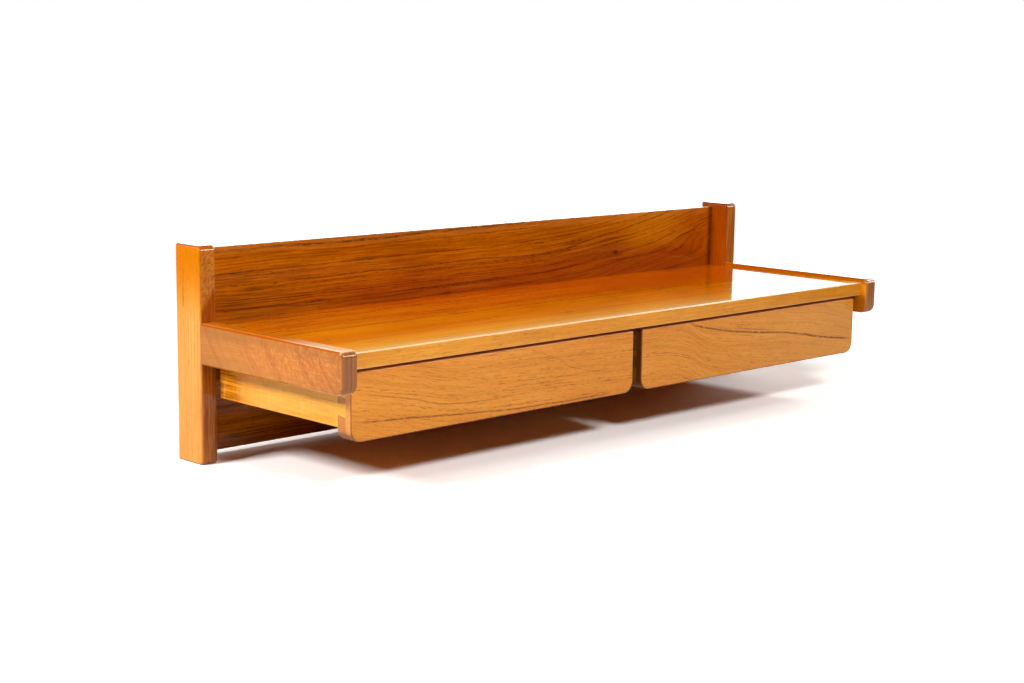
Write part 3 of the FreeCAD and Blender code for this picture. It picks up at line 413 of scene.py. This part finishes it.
# The right upright is redder on the side that faces the shelf, and as pale as the left one outside.
upright = Board("right_upright_teak", "right_upright", UP_GRAIN, wander=0.002)
upright.grow(heart=(0.09, 0.03), ring=UPRIGHT_RING)
upright.tone(shade(136, 50, 0), shade(162, 70, 0), shade(184, 90, 2), contrast=0.45, rings=0.1)
front_face = upright.faces(EDGES)
brown_fibre = upright.fibre.ramp(0.4, 0.6)
near_shelf = upright.u.ramp(0.1, 0.045)
outer_half = upright.w.ramp(-0.004, -0.01)
upright.over(shade(202, 122, 44), front_face)
upright.over(shade(136, 66, 10), front_face * brown_fibre * 0.65)
upright.over(shade(214, 92, 0), (1 - front_face) * near_shelf * 0.3)
upright.over(shade(232, 152, 54), (1 - front_face) * outer_half * 0.7)
upright.cut(ENDS, shade(120, 48, 4), 0.8)
upright.mark(shade(84, 28, 2), rings=0.3, pores=0.4, streaks=0.3)
# Its rounded edges are darker: partly lacquer pulled thin, partly a painted dark reflection.
upright.edge_wear_and_light(shade(104, 40, 4), 0.45)
top_edges = upright.round * upright.u.ramp(0.118, 0.125)
upright.lacquer("right_upright", coat=0.9 - top_edges * 0.75, haze=0.08)


# Hanger plates
# Keyhole plates of zinc plated steel are let into the backs of the uprights, each held by two slotted
# countersunk screws. The desk hangs on two screw heads in the wall.
def plated(name, *pieces, colour, dull):
    """Plated steel: grains of zinc that are duller and brighter, with a faint film over them."""
    material = bpy.data.materials.new(name)
    steel = blank(material)
    place = steel.add("TexCoord", output="Object")
    grain = steel.add("TexVoronoi", {"Vector": place, "Scale": 900.0}, output="Color")
    spangle = steel.add("SeparateColor", {0: grain}, output=0)
    film = steel.add("TexNoise", {"Vector": place, "Scale": 160.0, "Detail": 3.0})
    drawn_out = steel.add("Mapping", {0: place, 3: (60, 2500, 900)})
    scratch = steel.add("TexNoise", {"Vector": drawn_out, "Detail": 1.0})
    tint = steel.add("Mix", {0: film, 6: colour, 7: shade(214, 208, 186)}, output=2, data_type="RGBA")
    bump = steel.add("Bump", {"Height": scratch + spangle * 0.5, "Strength": 0.2, "Distance": 0.0001})
    roughness = dull + (spangle - 0.5) * 0.1 + (film - 0.5) * 0.2
    surface = steel.add("BsdfPrincipled", {
        "Base Color": tint, "Metallic": 1.0, "Roughness": roughness, "Normal": bump})
    steel.add("OutputMaterial", {"Surface": surface})
    for piece in pieces:
        nodes[piece].data.materials[0] = material


plated("zinc_plate", "left_hanger_plate", "right_hanger_plate", colour=shade(186, 190, 194), dull=0.36)
plated(
    "screw_steel", "hanger_plate_screws", "outer_runner_screws", "middle_runner_screws",
    "left_drawer_bottom_screws", "right_drawer_bottom_screws", colour=shade(170, 168, 162), dull=0.3)

# Back panel
# A wide board of figured teak is dowelled between the uprights, with a solid lipping glued along its
# top and its foot. It keeps things from falling behind the desk.
FACE_GRAIN = (-pi / 2, 0, 0)
panel = Board("back_panel_teak", "back_panel", FACE_GRAIN, wander=0.004)
eye = panel.knot(0.258, 0.068, radius=0.0055)
small_eye = panel.knot(-0.368, 0.074, radius=0.0025)
panel.knot(0.452, 0.068, radius=0.022)
panel.bow(((-0.5, 0.0), (-0.05, 0.002), (0.12, 0.006), (0.25, 0.018), (0.37, 0.036), (0.5, 0.07)))
panel.grow(heart=(-0.5, 0.1), ring=0.0058)
panel.tone(shade(126, 58, 0), shade(178, 93, 0), shade(212, 125, 4), contrast=0.6, rings=0.3)

# The lower part is painted a deep red, less so at the ends: painted shade towards and under the shelf. At
# the right it is orange, with a pale patch in it and a painted shadow in the corner by the upright.
right_end = panel.u.ramp(0.2, 0.45)
painted_shade_low = panel.v.ramp(0.1, 0.05)
past_left_end = panel.u.ramp(-0.42, -0.2)
less_at_right = panel.u.ramp(0.46, 0.36, low=0.25, high=0.5)
patch = panel.u.ramp(0.24, 0.32) * panel.u.ramp(0.44, 0.36) * panel.v.ramp(0.06, 0.085)
top_strip = panel.v.ramp(0.11, 0.118)
corner_shadow = panel.u.ramp(0.464, 0.474)
panel.over(shade(216, 100, 4), right_end * 0.4)
# Painted shade over the lower part.
panel.over(shade(136, 14, 0), painted_shade_low * past_left_end * less_at_right)
panel.over(shade(226, 142, 20), patch * 0.45)
panel.over(shade(206, 128, 46), top_strip * 0.35)
# Painted shadow in the corner by the upright.
panel.over(shade(48, 8, 0), corner_shadow * 0.7)
panel.cut(EDGES, shade(226, 140, 48), 0.7)
panel.over(shade(60, 18, 2), eye * 0.8)
panel.over(shade(80, 34, 2), small_eye * 0.7)
panel.mark(shade(72, 30, 2), rings=0.65, pores=0.65, streaks=0.6)

# The boldest growth lines: half width, strength, and points from left to right.
panel_lines = (
    (0.0018, 0.7, ((-0.36, 0.076), (-0.19, 0.0755), (-0.02, 0.079), (0.09, 0.0765), (0.2, 0.09),
                   (0.29, 0.105), (0.4, 0.127))),
    (0.0016, 0.6, ((-0.36, 0.0445), (-0.2, 0.042), (-0.1, 0.0455), (0.04, 0.047))),
    (0.0014, 0.7, ((0.22, 0.056), (0.325, 0.06), (0.37, 0.068), (0.4, 0.083), (0.43, 0.092),
                   (0.475, 0.11))),
    (0.0014, 0.6, ((0.39, 0.042), (0.425, 0.055), (0.475, 0.066))))
for panel_line in panel_lines:
    panel.line(*panel_line)
panel.edge_wear_and_light(shade(90, 34, 2), 0.4)
panel.lacquer("back_panel", "back_panel_top_lipping", "back_panel_foot_lipping", coat=0.7, haze=0.08)

# Side rails
# Two thick arms of teak, dowelled to the fronts of the uprights, that carry the shelf between them.
# They are cut across the growth, so that arches of it sweep down their sides.
RAIL_GRAIN = (-pi / 2, -pi / 2, 0)
for side, away, end_grain in (("left", -1, shade(160, 98, 46)), ("right", 1, shade(184, 118, 66))):
    rail = Board(f"{side}_rail_teak", f"{side}_side_rail", RAIL_GRAIN, wander=0.004)
    rail.grow(heart=(0.04, -0.05 * away), ring=0.013, taper=0.7, early=0.0, edge=0.5)
    rail.tone(shade(180, 94, 20), shade(208, 122, 36), shade(226, 148, 58), contrast=0.45, rings=0.3)

    # Light and dark flecks of the rays lie along the growth, mostly towards the nose.
    ray = rail.wood.add("CombineXYZ", {0: rail.shell / 0.0014, 1: rail.v / 0.005, 2: rail.w / 0.003})
    fleck = rail.noise(ray, detail=1.0)
    toward_nose = rail.u.ramp(0.1, -0.04, low=0.2)
    rail.over(shade(240, 170, 84), fleck.ramp(0.54, 0.7) * toward_nose * 0.42)
    rail.over(shade(172, 80, 12), fleck.ramp(0.46, 0.32) * toward_nose * 0.4)

    # The sides are duller near the upright, along their edges and at the nose.
    near_upright = rail.u.ramp(-0.02, 0.12)
    near_edges = abs(rail.v).ramp(0.006, 0.018) * rail.v.ramp(-0.01, 0.01, low=0.2, high=0.36)
    nose_end = rail.u.ramp(-0.1, -0.125)
    rail.over(shade(150, 100, 30), near_upright * 0.35)
    rail.over(shade(150, 90, 20), near_edges)
    rail.over(shade(150, 84, 20), nose_end * 0.25)

    # The top is an even orange, with a painted pale reflection along the front half of the left rail. The
    # right rail's sides are yellower, with painted shade under the shelf, and browner along their upper
    # edge.
    top_face = rail.faces(EDGES, start=0.5, full=0.85)
    if side == "right":
        broad_face = rail.faces(SIDES)
        shade_under_shelf = rail.v.ramp(0.006, -0.006)
        above_shelf = rail.v.ramp(0.016, 0.02)
        rail.over(shade(236, 142, 0), broad_face * 0.7)
        # Painted shade on the sides under the shelf.
        rail.over(shade(120, 56, 2), broad_face * shade_under_shelf * 0.6)
        rail.over(shade(168, 88, 0), broad_face * above_shelf * 0.8)
    rail.over(shade(204, 106, 6), top_face * 0.9)
    if side == "left":
        front_half = rail.u.ramp(0.0, -0.1)
        # Painted reflection: the front half of the left rail's top is painted pale.
        rail.over(shade(255, 214, 170), top_face * front_half * 0.75)

    # The nose shows end grain, with the growth rings as dark upright stripes.
    nose = rail.faces(ENDS, start=0.35, full=0.75)
    stripe = rail.streak(rail.w / 0.0014, 2.0).ramp(0.42, 0.6)
    rail.over(end_grain, nose * 0.9)
    rail.over(shade(96, 50, 26), nose * stripe * 0.7)
    rail.mark(shade(140, 62, 16), rings=0.05, pores=0.3, streaks=0.0)

    # A thin brown line runs along the upper long edges. All the long edges are less glossy.
    lengthwise = rail.faces(ENDS, start=0.35, full=0.1)
    upper_edge = lengthwise * rail.faces(SIDES, start=0.5, full=0.75) * rail.v.ramp(0.0, 0.01)
    rail.edge_wear_and_light(shade(168, 70, 0), upper_edge * 0.9)
    long_edges = rail.round * lengthwise
    rail.lacquer(f"{side}_side_rail", coat=0.8 - long_edges * 0.6, haze=0.08)

# Shelf
# The desk top is veneered board with a solid lipping along its front, polished to a high gloss.
# Its ends and its back edge are dowelled to the rails and the back panel.
SHELF_GRAIN = (0, 0, 0)
shelf = Board("shelf_teak", "shelf_board", SHELF_GRAIN, wander=0.004)
shelf.grow(heart=(0.5, 0.3), ring=0.009)
shelf.tone(shade(170, 72, 0), shade(218, 120, 0), shade(244, 156, 6), contrast=0.65, rings=0.25)

# The veneer is red along the panel, most of all at the right. Towards the front edge it pales in steps, a
# painted sheen for the light the lacquer reflects there.
rear = shelf.v.ramp(-0.05, 0.05)
rightwards = shelf.u.ramp(-0.45, 0.1, low=0.3)
from_middle = shelf.v.ramp(0.01, -0.05)
front_strip = shelf.v.ramp(-0.06, -0.13)
front_edge = shelf.v.ramp(-0.12, -0.142)
right_corner = shelf.u.ramp(0.3, 0.42) * shelf.v.ramp(0.04, -0.02)
shelf.over(shade(224, 68, 0), rear * rightwards * 0.52)
# Painted sheen, in three steps towards the front edge.
shelf.over(shade(255, 140, 0), from_middle * 0.5)
shelf.over(shade(255, 186, 52), front_strip * 0.6)
shelf.over(shade(255, 218, 160), front_edge * 0.45)
shelf.over(shade(255, 150, 0), right_corner * 0.35)
shelf.mark(shade(112, 46, 1), rings=0.35, pores=0.3, streaks=0.4)
shelf.lacquer("shelf_board", coat=1.0, haze=0.1)

lipping = Board("shelf_lipping_teak", "shelf_front_lipping", FACE_GRAIN, wander=0.001)
lipping.grow(heart=(0.3, 0.2), ring=0.004)
lipping.tone(shade(196, 112, 16), shade(222, 142, 34), shade(238, 164, 54), contrast=0.5, rings=0.1)
# Its top and bottom faces are painted pale, a painted sheen, and its rounded edges near white, a painted
# highlight.
lipping.cut(EDGES, shade(250, 196, 120), 0.7)
lipping.mark(shade(130, 66, 12), rings=0.15, pores=0.6, streaks=0.3)
lipping.edge_wear_and_light(shade(255, 222, 170), 0.65)
lipping.lacquer("shelf_front_lipping", coat=0.7, haze=0.1)


# Runners
# Strips of beech screwed to the rails and to a middle board under the shelf. The drawers' sides are
# grooved, and slide on them.
def beech(name, grain, waxed):
    """Plain beech for one node. A runner is waxed and darker at its ends, and a dowel is left bare."""
    wander, contrast, pores, coat = (0.001, 0.35, 0.5, 0.1) if waxed else (0.003, 0.3, 0.4, 0.0)
    wood = Board(name + "_beech", name, grain, wander)
    wood.grow(heart=(0.2, 0.1), ring=0.003)
    wood.tone(shade(188, 140, 92), shade(208, 164, 116), shade(222, 184, 140), contrast, rings=0.1)
    if waxed:
        wood.cut(ENDS, shade(168, 118, 74), 0.6)
    wood.mark(shade(150, 98, 58), rings=0.2, pores=pores, streaks=0.1)
    wood.lacquer(name, coat=coat, haze=0.3)


for name in (
        "middle_runner_board", "left_outer_runner", "right_outer_runner", "left_middle_runner",
        "right_middle_runner"):
    beech(name, RAIL_GRAIN, waxed=True)

# Drawers
# Each has a thick front that its sides are dovetailed into, a housed back and a plywood bottom that
# slides in grooves. The front's lower corners and edge are rounded for the hand that pulls it.
front_bows = {
    "left": ((-0.24, 0.02), (-0.14, 0.0), (-0.06, -0.014), (0.05, -0.017), (0.24, -0.024)),
    "right": ((-0.24, 0.0), (-0.19, -0.002), (-0.14, -0.012), (-0.1, -0.03), (-0.02, -0.042), (0.1, -0.052),
              (0.24, -0.075))}

# The boldest growth lines of each front: half width, strength, and points from left to right.
front_lines = {
    "left": (
        (0.0019, 0.9, ((-0.235, -0.017), (-0.085, -0.027), (0.06, -0.034), (0.2, -0.035))),
        (0.0013, 0.6, ((-0.225, 0.016), (-0.14, -0.002), (-0.085, -0.0143), (0.03, -0.0165))),
        (0.001, 0.4, ((-0.14, 0.03), (-0.085, 0.0158), (-0.05, 0.0108))),
        (0.001, 0.4, ((0.04, 0.038), (0.097, 0.017), (0.122, 0.004), (0.2, -0.008)))),
    "right": (
        (0.0022, 1.0, ((-0.145, 0.0395), (-0.0575, 0.0198), (0.0, 0.012), (0.0875, 0.0018),
                       (0.1435, -0.0073), (0.232, -0.0195))),
        (0.0013, 0.6, ((-0.05, 0.0235), (0.0, 0.0165), (0.06, 0.009))),
        (0.001, 0.45, ((-0.232, 0.006), (-0.19, 0.004), (-0.14, -0.006), (-0.11, -0.0253))))}

# How far the pins of the dovetails reach in front of the middle of the front's thickness.
PIN_TIPS = 0.0025
for side, toward_middle in (("left", 1), ("right", -1)):
    front = Board(f"{side}_drawer_front_teak", f"{side}_drawer_front", FACE_GRAIN, wander=0.003)
    front.bow(front_bows[side])
    front.grow(heart=(0.3, 0.1), ring=0.006)
    front.tone(shade(195, 108, 22), shade(218, 134, 34), shade(236, 156, 54), contrast=0.45, rings=0.1)

    # The ends are painted dark in the gap between the drawers, a painted shade, and browner where the pins
    # stand between the tails.
    front.cut(ENDS, shade(228, 156, 84), 0.75)
    end_face = front.faces(ENDS)
    shaded_inner_end = (front.u * toward_middle).ramp(0.2, 0.21)
    pins = (PIN_TIPS - front.w).math("GREATER_THAN", 0.0)
    # Painted shade on the end in the gap.
    front.over(shade(72, 30, 8), end_face * shaded_inner_end * 0.9)
    front.over(shade(176, 104, 44), end_face * pins * 0.6)
    front.mark(shade(126, 56, 14), rings=0.12, pores=0.8, streaks=0.4)
    if side == "right":
        outer_half = front.u.ramp(-0.1, 0.2)
        front.over(shade(255, 186, 100), outer_half * 0.22)
    for front_line in front_lines[side]:
        front.line(*front_line)
    front.edge_wear_and_light(shade(116, 46, 8), 0.75)
    front.lacquer(f"{side}_drawer_front", coat=0.7, haze=0.1)

    for piece in ("outer_side", "inner_side", "back"):
        name = f"{side}_drawer_{piece}"
        wall = Board(name + "_wood", name, FACE_GRAIN if piece == "back" else RAIL_GRAIN, wander=0.002)
        wall.grow(heart=(0.3, 0.1), ring=0.005)
        wall.tone(shade(214, 128, 24), shade(240, 164, 52), shade(252, 192, 86), contrast=0.4, rings=0.05)
        if piece != "back":
            # The rear of a side is browner, in streaks. Its upper front is painted paler, painted light that
            # softens the rail's shadow there.
            rear_end = wall.u.ramp(0.03, 0.09)
            lit_upper_front = wall.v.ramp(-0.02, -0.008) * wall.u.ramp(0.05, -0.01)
            rear_streaks = wall.u.ramp(0.05, 0.1) * wall.fibre.ramp(0.4, 0.6)
            wall.over(shade(248, 148, 0), rear_end * 0.75)
            # Painted light on the upper front, under the rail.
            wall.over(shade(255, 208, 96), lit_upper_front * 0.25)
            wall.over(shade(140, 60, 0), rear_streaks * 0.7)
        ripples_across = wall.cloud(0.0035, 0.03, detail=1.0).ramp(0.5, 0.75)
        wall.over(shade(255, 206, 110), ripples_across * 0.2)
        if piece == "inner_side":
            # The face towards the other drawer is painted dark: painted shade in the gap.
            gap_shade = wall.faces(SIDES) * (wall.w * toward_middle).ramp(0.003, 0.005)
            wall.over(shade(52, 22, 6), gap_shade * 0.85)
        wall.mark(shade(140, 70, 12), rings=0.15, pores=0.35, streaks=0.2)
        wall.lacquer(name, coat=0.6, haze=0.2)

    name = f"{side}_drawer_bottom"
    bottom = Board(name + "_plywood", name, SHELF_GRAIN, wander=0.006)
    bottom.grow(heart=(0.3, 0.02), ring=0.012)
    bottom.tone(shade(146, 72, 18), shade(170, 90, 28), shade(190, 110, 40), contrast=0.4, rings=0.2)
    core_ply = abs(bottom.w).ramp(0.0008, 0.0006) * (1 - bottom.facing[SIDES])
    bottom.over(shade(104, 62, 32), core_ply * 0.8)
    bottom.mark(shade(112, 64, 30), rings=0.3, pores=0.2, streaks=0.2)
    bottom.lacquer(name, coat=0.1, haze=0.3)

# Dowels
# Beech pins, glued blind into the ends of the rails, the panel, the shelf and the middle board.
# They hold the frame together without a screw that shows.
dowel_grains = {
    "rail_dowels": RAIL_GRAIN, "back_panel_dowels": SHELF_GRAIN, "shelf_end_dowels": SHELF_GRAIN,
    "shelf_back_dowels": RAIL_GRAIN, "middle_board_dowels": RAIL_GRAIN}
for name, grain in dowel_grains.items():
    beech(name, grain, waxed=False)
